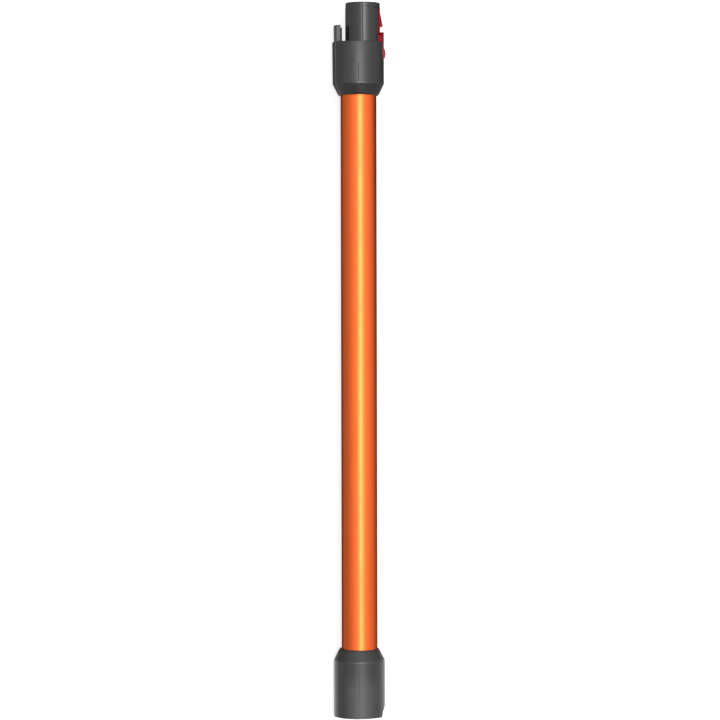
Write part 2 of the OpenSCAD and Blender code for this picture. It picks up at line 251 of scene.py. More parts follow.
def metal(name, a, c, rough, stretch=(1, 1, 1), grain=900, strength=0.1, depth=0.00001, aniso=0.0, coat=0.0, edge=(1, 1, 1)):
    m, nt, b = new_material(name)
    v = coords(nt, stretch)
    fine = noise(nt, v, grain, 3.0, 0.6)
    slow = noise(nt, coords(nt, (1, 1, 1)), 30, 2.0)
    nt.links.new(ramp(nt, fine, [(0.3, a), (0.7, c)]), b.inputs["Base Color"])
    b.inputs["Metallic"].default_value = 1.0
    b.inputs["Specular Tint"].default_value = (*edge, 1)
    b.inputs["Anisotropic"].default_value = aniso
    b.inputs["Coat Weight"].default_value = coat
    b.inputs["Coat Roughness"].default_value = 0.35
    nt.links.new(map_range(nt, slow, 0.3, 0.7, rough - 0.02, rough + 0.03), b.inputs["Roughness"])
    bump(nt, b, fine, strength, depth)
    return m


MAT = {
    "tube": metal("anodised_orange", (0.86, 0.135, 0.026), (0.90, 0.150, 0.031), 0.30, (1, 0.012, 1), 1500, 0.10, 0.00001, coat=0.18, edge=(0.90, 0.52, 0.42)),
    # collars: their last colour is mixed in as painted highlight along creases and shoulders, and on the tool collar's
    # front band
    "collar": plastic("collar_grey", (0.010, 0.0098, 0.0096), (0.014, 0.0137, 0.0134), 0.36, spec=0.6, painted_light_colour=(0.26, 0.257, 0.252)),
    "tool_collar": plastic("tool_collar_grey", (0.012, 0.0116, 0.0113), (0.017, 0.0165, 0.0161), 0.42, spec=0.62, sheen_rough=0.5, dusty=True, painted_light_colour=(0.26, 0.255, 0.249), front_highlight=0.23),
    "duct": plastic("duct_grey", (0.010, 0.0098, 0.0096), (0.014, 0.0137, 0.0134), 0.27, grain=3200, spec=0.62),
    "plug": plastic("plug_grey", (0.060, 0.060, 0.059), (0.078, 0.078, 0.077), 0.42),
    "retainer": plastic("natural_plastic", (0.50, 0.50, 0.47), (0.60, 0.60, 0.57), 0.45),
    "carrier": plastic("carrier_black", (0.014, 0.014, 0.015), (0.022, 0.022, 0.023), 0.5),
    # catch: its last colour is a painted pink sheen on the lever's outermost edge
    "catch": plastic("catch_red", (0.215, 0.0035, 0.009), (0.26, 0.0055, 0.012), 0.30, grain=1800, strength=0.06, spec=0.07, sheen=0.30,
                     tint=(1.0, 0.50, 0.60), sheen_rough=0.12, painted_light_colour=(0.52, 0.16, 0.20)),
    "steel": metal("zinc_steel", (0.50, 0.51, 0.52), (0.62, 0.63, 0.64), 0.28),
    "brass": metal("contact_plating", (0.66, 0.44, 0.16), (0.78, 0.55, 0.24), 0.25),
    "rubber": plastic("seal_rubber", (0.012, 0.012, 0.012), (0.022, 0.022, 0.022), 0.65, grain=1500, strength=0.4),
    "wire_left": plastic("insulation_red", (0.32, 0.012, 0.012), (0.42, 0.018, 0.018), 0.4),
    "wire_right": plastic("insulation_black", (0.012, 0.012, 0.013), (0.02, 0.02, 0.021), 0.4),
}


# ------------------------------------------------------------------ mesh tools
def link(obj):
    bpy.context.scene.collection.objects.link(obj)
    return obj


def solid(name, verts, faces):
    """Raw solid in wand millimetres."""
    me = bpy.data.meshes.new(name)
    me.from_pydata([tuple(v) for v in verts], [], faces)
    bm = bmesh.new()
    bm.from_mesh(me)
    bmesh.ops.recalc_face_normals(bm, faces=bm.faces)
    bm.to_mesh(me)
    bm.free()
    return link(bpy.data.objects.new(name, me))


def loft(rings, name="loft"):
    """Closed solid through rings of equally many points, flat caps at both ends."""
    n = len(rings[0])
    verts = [p for r in rings for p in r]
    faces = [tuple(range(n)), tuple((len(rings) - 1) * n + k for k in range(n))]
    for i in range(len(rings) - 1):
        for k in range(n):
            a, b = i * n + k, i * n + (k + 1) % n
            faces.append((a, b, b + n, a + n))
    return solid(name, verts, faces)


def circle(cu, cv, r, w, n, a0=0.0):
    return [(cu + r * math.cos(2 * math.pi * k / n + a0), cv + r * math.sin(2 * math.pi * k / n + a0), w) for k in range(n)]


def disc(cu, r, w0, w1, n=160, cv=0.0):
    return loft([circle(cu, cv, r, w0, n), circle(cu, cv, r, w1, n)], "disc")


def lathe(cu, profile, n=160):
    """Solid of revolution about the axis at cu: profile is a list of (radius, w) with radius > 0."""
    return loft([circle(cu, 0, r, w, n) for r, w in profile], "lathe")


def prism(outline, w0, w1, name="prism"):
    return loft([[(u, v, w0) for u, v in outline], [(u, v, w1) for u, v in outline]], name)


def box(u0, u1, v0, v1, w0, w1):
    return prism([(u0, v0), (u1, v0), (u1, v1), (u0, v1)], w0, w1, "box")


def rod_u(r, w, u0, u1, v=0.0, n=96):
    ring = [(v + r * math.cos(2 * math.pi * k / n), w + r * math.sin(2 * math.pi * k / n)) for k in range(n)]
    return loft([[(u0, a, b) for a, b in ring], [(u1, a, b) for a, b in ring]], "rod")


def rod_v(r, u, w, v0, v1, n=64):
    ring = [(u + r * math.cos(2 * math.pi * k / n), w + r * math.sin(2 * math.pi * k / n)) for k in range(n)]
    return loft([[(a, v0, b) for a, b in ring], [(a, v1, b) for a, b in ring]], "rod")


def outline_u(points, u0, u1):
    """Prism along u over an outline in (v, w)."""
    return loft([[(u0, a, b) for a, b in points], [(u1, a, b) for a, b in points]], "plate")


def combine(a, b, operation):
    m = a.modifiers.new("cut", "BOOLEAN")
    m.operation = operation
    m.object = b
    m.solver = "MANIFOLD" if "MANIFOLD" in {i.identifier for i in m.bl_rna.properties["solver"].enum_items} else "EXACT"
    dg = bpy.context.evaluated_depsgraph_get()
    me = bpy.data.meshes.new_from_object(a.evaluated_get(dg))
    a.modifiers.clear()
    old = a.data
    a.data = me
    bpy.data.meshes.remove(old)
    ob = b.data
    bpy.data.objects.remove(b)
    bpy.data.meshes.remove(ob)
    return a


def minus(a, *cutters):
    for c in cutters:
        combine(a, c, "DIFFERENCE")
    return a


def plus(a, *others):
    for c in others:
        combine(a, c, "UNION")
    return a


def common(a, *others):
    for c in others:
        combine(a, c, "INTERSECT")
    return a


def finish_piece(obj, name, material, body, nodes=(), bevel=0.0, segments=2, angle=32.0, limit=38.0, weld=0.004,
                 after=(), painted_light_and_dust=None):
    me = obj.data
    bm = bmesh.new()
    bm.from_mesh(me)
    bmesh.ops.remove_doubles(bm, verts=bm.verts, dist=weld)
    bmesh.ops.dissolve_degenerate(bm, edges=bm.edges, dist=weld)
    bmesh.ops.dissolve_limit(bm, angle_limit=math.radians(0.05), verts=bm.verts, edges=bm.edges)
    bmesh.ops.recalc_face_normals(bm, faces=bm.faces)
    bm.to_mesh(me)
    bm.free()
    if bevel > 0:
        md = obj.modifiers.new("edge", "BEVEL")
        md.width = bevel
        md.segments = segments
        md.limit_method = "ANGLE"
        md.angle_limit = math.radians(limit)
        md.use_clamp_overlap = True
        md.miter_outer = "MITER_SHARP"
        dg = bpy.context.evaluated_depsgraph_get()
        new = bpy.data.meshes.new_from_object(obj.evaluated_get(dg))
        obj.modifiers.clear()
        obj.data = new
        bpy.data.meshes.remove(me)
    minus(obj, *after)
    me = obj.data
    bm = bmesh.new()
    bm.from_mesh(me)
    if after:
        bmesh.ops.remove_doubles(bm, verts=bm.verts, dist=weld)
        bmesh.ops.dissolve_degenerate(bm, edges=bm.edges, dist=weld)
    loose = [v for v in bm.verts if not v.link_faces]
    if loose:
        bmesh.ops.delete(bm, geom=loose, context="VERTS")
    bmesh.ops.recalc_face_normals(bm, faces=bm.faces)
    # per-vertex weights: painted highlight along the creases, painted highlight across the shoulder, and dust bloom
    if painted_light_and_dust:
        layers = [bm.verts.layers.float.new(n) for n in ("crease", "shoulder", "dust")]
        for v in bm.verts:
            for layer, value in zip(layers, painted_light_and_dust(v.co)):
                v[layer] = value
    bm.transform(TO_WORLD)
    if TO_WORLD.to_3x3().determinant() < 0:
        bmesh.ops.reverse_faces(bm, faces=bm.faces)
    bm.to_mesh(me)
    bm.free()
    me.shade_smooth()
    me.set_sharp_from_angle(angle=math.radians(angle))
    wn = obj.modifiers.new("normals", "WEIGHTED_NORMAL")
    wn.keep_sharp = True
    wn.weight = 60
    obj.name = name
    me.name = name
    me.materials.clear()
    me.materials.append(material)
    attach(obj, body)
    if nodes:
        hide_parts(*nodes)
    return obj


# ------------------------------------------------------------------ collar section
def polar(c, r, a):
    return (c[0] + r * math.cos(math.radians(a)), c[1] + r * math.sin(math.radians(a)))


def unit2(a):
    return (math.cos(math.radians(a)), math.sin(math.radians(a)))


def dot2(p, q):
    return p[0] * q[0] + p[1] * q[1]


FRONT_C = (CX + (COLLAR_R - FRONT_R) * unit2(FRONT_A)[0], (COLLAR_R - FRONT_R) * unit2(FRONT_A)[1])
FLANK_N, BEND_N = unit2(FLANK_A), unit2(BEND_A)
FLANK_H = dot2(CREASE, FLANK_N)
BEND_R = (FLANK_H - dot2(FRONT_C, FLANK_N) - FRONT_R * dot2(BEND_N, FLANK_N)) / (1 - dot2(BEND_N, FLANK_N))
BEND_C = (FRONT_C[0] + (FRONT_R - BEND_R) * BEND_N[0], FRONT_C[1] + (FRONT_R - BEND_R) * BEND_N[1])
SPINE_R = ((CREASE[0] - APEX) ** 2 + CREASE[1] ** 2) / (2 * (CREASE[0] - APEX))
SPINE_C = APEX + SPINE_R
PARTS = (52, 60, 24, 6, 6, 26)                     # points on each stretch of half the outline
N_HALF = sum(PARTS)                                # index of the spine's middle
EGG_LEN = 2 * N_HALF


def egg(g=0.0, soft=0.5):
    """Collar outline drawn inwards by g, its two creases rounded over the length soft."""
    sr = SPINE_R - g
    d = FLANK_H - g - SPINE_C * FLANK_N[0]
    h = math.sqrt(sr * sr - d * d)
    k = (SPINE_C + d * FLANK_N[0] - h * FLANK_N[1], d * FLANK_N[1] + h * FLANK_N[0])
    sb = math.degrees(math.atan2(k[1], k[0] - SPINE_C)) + math.degrees(soft / sr)
    half = [polar((CX, 0), COLLAR_R - g, FRONT_A * i / PARTS[0]) for i in range(PARTS[0] + 1)]
    half += [polar(FRONT_C, FRONT_R - g, FRONT_A + (BEND_A - FRONT_A) * i / PARTS[1]) for i in range(1, PARTS[1] + 1)]
    half += [polar(BEND_C, BEND_R - g, BEND_A + (FLANK_A - BEND_A) * i / PARTS[2]) for i in range(1, PARTS[2] + 1)]
    a = half[-1]
    e = (-FLANK_N[1], FLANK_N[0])
    p0 = (k[0] - soft * e[0], k[1] - soft * e[1])
    half += [(a[0] + (p0[0] - a[0]) * i / PARTS[3], a[1] + (p0[1] - a[1]) * i / PARTS[3]) for i in range(1, PARTS[3] + 1)]
    p3 = polar((SPINE_C, 0), sr, sb)
    for i in range(1, PARTS[4] + 1):
        t = i / PARTS[4]
        half.append(tuple((1 - t) ** 2 * p0[j] + 2 * (1 - t) * t * k[j] + t * t * p3[j] for j in (0, 1)))
    half += [polar((SPINE_C, 0), sr, sb + (180 - sb) * i / PARTS[5]) for i in range(1, PARTS[5] + 1)]
    return half + [(u, -v) for u, v in reversed(half[1:-1])]


def foot(r, pts, c=0.0):
    """Round foot of a collar about c, each point straight inwards from its point of the outline."""
    return [(c + r * (u - c) / math.hypot(u - c, v), r * v / math.hypot(u - c, v)) for u, v in pts]


DUST = ((-27.0, 0.80), (-24.9, 0.60), (-23.9, 0.50), (-22.9, 0.38), (-21.9, 0.22), (-20.9, 0.08), (-13.0, 0.05), (0.0, 0.10),
        (14.0, 0.15), (18.5, 0.32), (22.0, 0.78), (30.0, 0.84))


def dust_at(u):
    for (a, x), (b, y) in zip(DUST, DUST[1:]):
        if u <= b:
            return x + (y - x) * min(max((u - a) / (b - a), 0.0), 1.0)
    return DUST[-1][1]


def collar_painted_light(w_sh, w_ft, r, c=0.0, crease=1.0, reach=0.6):
    """How much painted highlight a point of a collar gets, near its two creases and near the middle of its shoulder,
    and how much bloom lies on it."""
    cu, cv = CREASE[0] - 0.3, CREASE[1] - 0.44
    (ku, kv), = foot(r, [(cu, cv)], c)

    def painted_light_and_dust(p):
        t = min(max((p.z - w_sh) / (w_ft - w_sh), 0.0), 1.0)
        d = math.hypot(p.x - ((1 - t) * cu + t * ku), abs(p.y) - ((1 - t) * cv + t * kv))
        # painted highlight weight at the crease, painted highlight weight at the shoulder, then the dust bloom
        return crease * max(0.0, 1 - d / reach), (
            max(0.0, 1 - abs(p.z - w_sh) / 0.6) * math.exp(-((p.x - 3.5) / 9) ** 2)), dust_at(p.x) * (1 - 0.65 * min(t * 6, 1.0))
    return painted_light_and_dust


def blend_ring(p, q, t, w):
    return [((1 - t) * a[0] + t * b[0], (1 - t) * a[1] + t * b[1], w) for a, b in zip(p, q)]


def scaled_spine(pts, add):
    """Moves the spine side outwards by add at its middle, for the mould's draft."""
    return [(u - add * min(max((-u - 8) / 18.9, 0), 1), v) for u, v in pts]


def shoulder_rings(E, F, w_egg, w_foot, soft, steps=5):
    """Rings from the parallel part over a rounded shoulder to the foot."""
    s = 1 if w_foot > w_egg else -1
    length = abs(w_foot - w_egg)
    rings = []
    for i in range(steps + 1):
        t = i / steps                                # quadratic blend from -soft to +soft round the shoulder
        w = w_egg + s * soft * (2 * t - 1)
        lean = soft / length * t * t
        rings.append(blend_ring(E, F, lean, w))
    for i in range(1, 9):
        t = soft / length + (1 - soft / length) * i / 8
        rings.append(blend_ring(E, F, t, w_egg + s * length * t))
    return rings


def rim_rings(E, inner, w_rim, soft, up=1, steps=4):
    """Outer edge of a rim, rounded by soft."""
    rings = []
    for i in range(steps + 1):
        a = math.pi / 2 * i / steps
        rings.append([(p[0] + (q[0] - p[0]) * soft * (1 - math.cos(a)), p[1] + (q[1] - p[1]) * soft * (1 - math.cos(a)),
                       w_rim - up * soft * (1 - math.sin(a))) for p, q in zip(E, inner)])
    return rings


E0 = egg(0.02)                                      # a hair inside the frame
E1 = egg(1.0)                                      # one millimetre inside, gives the inward direction


def parting_line(u, stations, half=0.2, deep=0.45, lip=0.6, sink=0.07):
    """Cutters for a fine slot along the front and back at u, one lip eased off; stations are
    (w, distance of the surface from v = 0, share of the depth)."""
    cutters = []
    for s in (-1, 1):
        rings = []
        for w, d, f in stations:
            section = ((u - half - lip - 0.1, d + 0.01), (u + half + 0.10, d + 0.03), (u + half, d - 0.03 * f),
                       (u, d - deep * f), (u - half, d - sink * f))
            rings.append([(a, s * b, w) for a, b in section])
        cutters.append(loft(rings, "groove"))
    return cutters


FRONT_V = math.sqrt((FRONT_R - 0.02) ** 2 - FRONT_C[0] ** 2) + FRONT_C[1]


# ------------------------------------------------------------------ upper collar
def make_upper_collar():
    w_sh, w_ft, r_ft = 647.5, 635.9, 20.5
    F = foot(r_ft, E0)
    Eb = scaled_spine(E0, -0.35)
    Et = scaled_spine(E0, 0.0)
    rings = []
    # foot edge
    for k, g in ((0.0, 0.35), (0.12, 0.12), (0.35, 0.0)):
        rings.append([(p[0] * (r_ft - g) / r_ft, p[1] * (r_ft - g) / r_ft, w_ft + k) for p in F])
    sh = shoulder_rings(Eb, F, w_sh, w_ft, 0.7)
    rings += [r for r in reversed(sh) if r[0][2] > w_ft + 0.36]
    for i in range(1, 12):
        t = i / 12
        rings.append(blend_ring(Eb, Et, t, w_sh + 0.7 + (RIM - 0.45 - w_sh - 0.7) * t))
    rings += rim_rings(Et, E1, RIM, 0.45)
    body = loft(rings, "upper_collar")
    minus(body, disc(0, TUBE_R + 0.08, 630, 652.3, 192))
    minus(body, prism(egg(1.9, 0.3), 652.2, 692))
    pts = []
    half, wz = 9.3, 678.6
    for k in range(41):
        a = math.pi + math.pi * k / 40
        pts.append((half * math.cos(a), wz + half * math.sin(a)))
    pts += [(half, 694), (-half, 694)]
    minus(body, outline_u(pts, 15, 32))
    for a in (45, 85):
        minus(body, radial(a, 2.6, 641, 19.4, 30), radial(a, 1.3, 641, 17, 30))
    line = parting_line(0.0, [(646.5, FRONT_V, 1.0), (662.0, FRONT_V, 1.0), (668.0, FRONT_V, 0.02)])
    return finish_piece(body, "upper_collar_shell", MAT["collar"], "wand", ["upper_collar"],
                        bevel=0.18, limit=55, angle=24, after=line, painted_light_and_dust=collar_painted_light(w_sh, w_ft, r_ft, 0.0, 0.55))


def radial(a, r, w, r0, r1, n=48):
    ca, sa = math.cos(math.radians(a)), math.sin(math.radians(a))
    rings = []
    for d in (r0, r1):
        rings.append([(d * ca - r * math.cos(t) * sa, d * sa + r * math.cos(t) * ca, w + r * math.sin(t))
                      for t in (2 * math.pi * k / n for k in range(n))])
    return loft(rings, "radial")


# ------------------------------------------------------------------ lower collar
def mouth_arch():
    pts = [(10.8 * math.cos(math.pi * 2 * k / 120), 0.2 + 10.8 * math.sin(math.pi * 2 * k / 120)) for k in range(120)]
    return outline_u(pts, 15, 32)


def hook_window():
    return common(disc(CX, 20.95, 15.9, 32), box(15, 30, -7.2, 7.2, 15.9, 32))


def post_profile(g, u1):
    """Section of the plug post grown by g: an arched outer face with rounded corners."""
    hw, r, c, corner = 9.4 + g, 15.5 + g, -9.8, 1.1
    a = math.degrees(math.asin((hw - corner) / (r - corner)))
    pts = []
    cc = (c - (r - corner) * math.cos(math.radians(a)), hw - corner)
    for k in range(25):
        t = -a + 2 * a * k / 24
        pts.append((c - r * math.cos(math.radians(t)), r * math.sin(math.radians(t))))
    arc = []
    for k in range(1, 9):
        t = 180 - a - (90 - a) * k / 8
        arc.append((cc[0] + corner * math.cos(math.radians(t)), cc[1] + corner * math.sin(math.radians(t))))
    pts += arc
    pts += [(u1 - 0.8, hw), (u1 - 0.25, hw - 0.25), (u1, hw - 0.8)]
    pts += [(u1, -hw + 0.8), (u1 - 0.25, -hw + 0.25), (u1 - 0.8, -hw)]
    pts += [(u, -v) for u, v in reversed(arc)]
    return pts


def make_lower_collar():
    w_sh, w_ft, r_ft, c_ft = 57.4, 69.5, 20.2, -0.45
    Em = Es = egg(0.02, 3.5)
    F = foot(r_ft, Es, c_ft)
    rings = list(reversed(rim_rings(Em, E1, 0.0, 0.5, up=-1)))
    for i in range(1, 12):
        t = i / 12
        k = max(0.0, 1 - t * 2.2)
        rings.append(blend_ring(Es, Em, k, 0.5 + (w_sh - 0.9 - 0.5) * t))
    rings += shoulder_rings(Es, F, w_sh, w_ft, 0.9)[0:]
    rings = [r for r in rings if r[0][2] < w_ft - 0.36]
    for k, g in ((0.35, 0.0), (0.12, 0.12), (0.0, 0.35)):
        rings.append([(c_ft + (p[0] - c_ft) * (r_ft - g) / r_ft, p[1] * (r_ft - g) / r_ft, w_ft - k) for p in F])
    body = loft(rings, "lower_collar")
    minus(body, disc(CX, 19.65, -1, 50.8, 192), disc(0, TUBE_R + 0.08, 50.7, 71, 192))
    minus(body, prism(post_profile(0.35, -16.1), -1, 44), box(-23, -13.6, -5.5, 5.5, 40, 52))
    minus(body, hook_window(), mouth_arch())
    for a in (45, 85):
        minus(body, radial(a, 2.6, 61, 19.5, 30), radial(a, 1.3, 61, 17, 30))
    line = parting_line(0.0, [(-0.5, FRONT_V, 1.0), (56.0, FRONT_V, 1.0)], 0.12, 0.22, 0.5, 0.04)
    return finish_piece(body, "lower_collar_shell", MAT["tool_collar"], "wand", ["lower_collar"],
                        bevel=0.18, limit=55, angle=24, after=line, painted_light_and_dust=collar_painted_light(w_sh, w_ft, r_ft, c_ft, 0.0))


# ------------------------------------------------------------------ tube
def make_tube():
    prof = [(TUBE_R - 0.25, TUBE0), (TUBE_R, TUBE0 + 0.25), (TUBE_R, 200), (TUBE_R, 350), (TUBE_R, 500),
            (TUBE_R, TUBE1 - 0.25), (TUBE_R - 0.25, TUBE1)]
    body = lathe(0, prof, 256)
    bore = common(disc(0, BORE_R, TUBE0 - 1, TUBE1 + 1, 256), box(-12.2, 30, -30, 30, TUBE0 - 2, TUBE1 + 2))
    channel = common(disc(0, BORE_R, TUBE0 - 1, TUBE1 + 1, 256), box(-30, -13.2, -30, 30, TUBE0 - 2, TUBE1 + 2))
    # faint line that the extrusion die leaves
    line = loft([[(-0.16, -TUBE_R - 0.05, w), (0.16, -TUBE_R - 0.05, w), (0, -TUBE_R + 0.06, w)]
                 for w in (TUBE0 - 1, TUBE1 + 1)], "line")
    minus(body, bore, channel, line)
    return finish_piece(body, "tube_extrusion", MAT["tube"], "wand", ["tube"])


# ------------------------------------------------------------------ spigot and its duct
def make_spigot():
    a = lathe(CX, [(SPIGOT_R, 654), (SPIGOT_R, 690), (SPIGOT_R, 710), (SPIGOT_R, TIP - 4.8), (NOSE_R, TIP - 4.4),
                   (NOSE_R, TIP - 0.45), (NOSE_R - 0.06, TIP - 0.24), (NOSE_R - 0.18, TIP - 0.09), (NOSE_R - 0.36, TIP)], 224)
    plus(a, prism(egg(2.1, 0.3), 653.2, 656.2))
    plus(a, common(disc(0, BORE_R - 0.15, 624, 654, 160), box(-11.95, 30, -30, 30, 620, 660)))
    cap = prism(egg(2.1, 0.3), 686.8, 689.6)
    plus(a, cap)
    minus(a, common(disc(0, AIR_R - 0.1, 620, 656.2, 160), box(-10.3, 30, -30, 30, 610, 670)))
    minus(a, common(disc(CX, AIR_R, 656.19, 727.01, 160), box(-20, 12.5, -30, 30, 600, 800)))
    minus(a, lathe(CX, [(AIR_R, 727), (AIR_R, TIP - 0.5), (AIR_R + 0.15, TIP - 0.2), (AIR_R + 0.5, TIP + 0.1)], 160))
    minus(a, box(13.7, 30, -9.1, 9.1, 657.5, 725))
    minus(a, box(-23, -13.5, -5.5, 5.5, 652, 657))
    minus(a, box(-22.4, -17.5, -6.6, 6.6, 686, 691))
    minus(a, rod_v(0.55, CX - 1.5, TIP - 2.6, -20, -SPIGOT_R + 1.2, 24))
    for ang in (45, 85):
        minus(a, radial(ang, 1.3, 641, 10, 20))
    line = parting_line(CX, [(689.7, SPIGOT_R, 1), (TIP - 4.8, SPIGOT_R, 1), (TIP - 4.4, NOSE_R, 1), (TIP + 0.5, NOSE_R, 1)],
                        0.31, 0.75)
    minus(a, rod_v(1.27, HINGE[0], HINGE[1], -10.1, 10.1))
    for s in (-1, 1):
        v0, v1 = sorted((s * 7.1, s * 10.0))
        lug = plus(box(13.2, HINGE[0], v0, v1, 661, 666), rod_v(2.6, HINGE[0], HINGE[1], v0, v1))
        minus(lug, rod_v(1.27, HINGE[0], HINGE[1], v0 - 1, v1 + 1))
        plus(a, lug)
    return finish_piece(a, "spigot_moulding", MAT["duct"], "wand", ["spigot_duct"], bevel=0.15, limit=55, angle=24,
                        after=line)


# ------------------------------------------------------------------ release catch
def lever_outline(half, wz, arch_r, arch_w, n=28):
    pts = []
    for k in range(n + 1):
        a = math.pi + math.pi * k / n
        pts.append((half * math.cos(a), wz + half * math.sin(a)))
    a_side = math.acos(half / arch_r)
    for k in range(n + 1):
        a = a_side + (math.pi - 2 * a_side) * k / n
        pts.append((arch_r * math.cos(a), arch_w + arch_r * math.sin(a)))
    return pts


def lever_edge_sheen(p):
    """Painted sheen: the lever's outer face and its pad are painted lighter pink towards their outermost edge, up to
    the collar's rim.
    """
    return 0.50 * min(max((p.x - 24.2) / 1.6, 0.0), 1.0) * min(max((691 - p.z) / 4, 0.0), 1.0), 0.0, 0.0


def make_catch():
    lever = common(disc(CX, COLLAR_R + 0.03, 668, 702, 288), outline_u(lever_outline(8.6, 678.6, 10.3, 690.2), 17.2, 32))
    tongue = minus(disc(CX, SPIGOT_R, 682, 724.5, 288), disc(CX, SPIGOT_R - 1.6, 681, 726, 160))
    common(tongue, box(12, 30, -8.5, 8.5, 682, 724.5))
    hook = lathe(CX, [(SPIGOT_R - 1.4, 706.2), (20.45, 706.2), (20.64, 706.42), (20.58, 706.9), (SPIGOT_R + 0.04, 720.6), (SPIGOT_R - 1.4, 720.6)], 288)
    common(hook, box(19.3, 30, -6.8, 6.8, 706, 721))
    # raised finger pad, crowned like a lens
    wz, hv, hw, ball = 678.7, 6.95, 5.35, 11.0
    n = 96

    def pad_ring(grow, top):
        ring = []
        for k in range(n):
            t = 2 * math.pi * k / n
            v, w = (hv + grow) * math.cos(t), (hw + grow) * math.sin(t)
            ring.append((top - ball + math.sqrt(ball * ball - v * v - w * w), v, wz + w))
        return ring
    rings = [[(22.0, p[1], p[2]) for p in pad_ring(0, 0)]]
    rings += [pad_ring(g, top) for g, top in ((0.0, 27.52), (-0.07, 27.68), (-0.25, 27.82), (-0.55, 27.88), (-1.2, 27.88), (-2.1, 27.88),
                                              (-3.1, 27.88), (-4.1, 27.88), (-4.8, 27.88), (-5.2, 27.88))]
    pad = loft(rings, "pad")
    stem = plus(box(16.6, 21.2, -6.8, 6.8, 663.5, 672.5), rod_v(2.6, HINGE[0], HINGE[1], -6.8, 6.8))
    plus(lever, tongue, hook, pad, stem)
    minus(lever, rod_v(1.3, HINGE[0], HINGE[1], -8, 8), rod_u(3.0, 678, 16, 21.5))
    return finish_piece(lever, "release_catch_moulding", MAT["catch"], "catch", ["release_catch"],
                        bevel=0.2, segments=2, limit=40, painted_light_and_dust=lever_edge_sheen)


# ------------------------------------------------------------------ plug post
def make_plug():
    rings = []
    base = 690.1
    top = 707.3
    def post(w, g, shift=0.0):
        return [(u - shift * min(max((-u - 18.1) / 7.2, 0), 1), v, w) for u, v in post_profile(g, -18.1)]
    rings.append(post(base, 0, -0.30))
    rings.append(post(base + 8, 0, -0.12))
    rings.append(post(top - 0.9, 0, 0.0))
    rings.append(post(top - 0.55, -0.08, 0.0))
    rings.append(post(top - 0.22, -0.28, 0.0))
    rings.append(post(top, -0.7, 0.0))
    a = loft(rings, "post")
    rib = loft([[(u, v, w) for u, v in ((-18.3, -3), (-16.7, -1.2), (-16.7, 1.2), (-18.3, 3))] for w in (base, 704.6)] +
               [[(u, v, 705.2) for u, v in ((-18.3, -2.9), (-17.2, -1.1), (-17.2, 1.1), (-18.3, 2.9))]], "rib")
    plus(a, rib, box(-22.3, -17.6, -6.5, 6.5, 673, 690.2))
    for s in (-1, 1):
        v0, v1 = sorted((s * 6, s * 8))
        minus(a, box(-24, -16, v0, v1, 685.1, 686.8))
        minus(a, disc(-20.2, 1.55, 672, 720, 48, s * 4.2))
        minus(a, loft([circle(-20.2, s * 4.2, 1.4, 706.3, 48), circle(-20.2, s * 4.2, 2.45, 707.35, 48)], "mouth"))
    return finish_piece(a, "plug_post_moulding", MAT["plug"], "wand", ["plug_body"], bevel=0.12, limit=45,
                        after=[loft([[(-23.98, s * 7.6, w), (-23.28, s * 7.6, w), (-23.55, s * 6.1, w)] for w in (base + 0.4, top + 1)])
                               for s in (-1, 1)])


# ------------------------------------------------------------------ socket duct
def make_socket():
    a = disc(CX, 19.55, 1, 50.7, 192)
    plus(a, common(disc(0, BORE_R - 0.15, 50.6, 80, 160), box(-11.95, 30, -30, 30, 40, 90), disc(CX, 18.5, 49, 81, 160)))
    minus(a, lathe(CX, [(SOCKET_R + 0.6, 0.5), (SOCKET_R + 0.3, 1.2), (SOCKET_R, 1.9), (SOCKET_R, 38.6), (SOCKET_R + 0.3, 38.6001), (SOCKET_R + 0.3, 40)], 192))
    minus(a, disc(CX, AIR_R, 39, 47, 160))
    minus(a, common(disc(0, AIR_R - 0.1, 46.5, 81, 160), box(-10.3, 30, -30, 30, 40, 90), disc(CX, 17, 46, 82, 160)))
    minus(a, box(-23, -13.4, -5.5, 5.5, 43, 52), hook_window(), mouth_arch())
    for ang in (45, 85):
        minus(a, radial(ang, 1.3, 61, 10, 20))
    return finish_piece(a, "socket_moulding", MAT["duct"], "wand", ["socket_duct"], bevel=0.12, limit=45)


pieces = [make_upper_collar(), make_lower_collar(), make_tube(), make_spigot(), make_catch(), make_plug(), make_socket()]

# ------------------------------------------------------------------ carried-over nodes
CARRIED = {
    "catch_pin": ("steel", 0.12), "catch_spring": ("steel", 0), "plug_retainer": ("retainer", 0.1),
    "plug_terminal_left": ("brass", 0.08), "plug_terminal_right": ("brass", 0.08),
    "upper_seal": ("rubber", 0), "upper_grommet": ("rubber", 0), "upper_screws": ("steel", 0.06),
    "wire_left": ("wire_left", 0), "wire_right": ("wire_right", 0), "socket_lip_seal": ("rubber", 0.05),
    "lower_seal": ("rubber", 0), "pin_carrier": ("carrier", 0.12), "contact_pin_left": ("brass", 0),
    "contact_pin_right": ("brass", 0), "lower_grommet": ("rubber", 0), "lower_screws": ("steel", 0.06),
}
for node, (mat, edge) in CARRIED.items():
    obj = frame["nodes"][node]
    obj.data.materials.clear()
    obj.data.materials.append(MAT[mat])
    if edge:
        md = obj.modifiers.new("edge", "BEVEL")
        md.width = edge / 1000
        md.segments = 2
        md.limit_method = "ANGLE"
        md.angle_limit = math.radians(50)

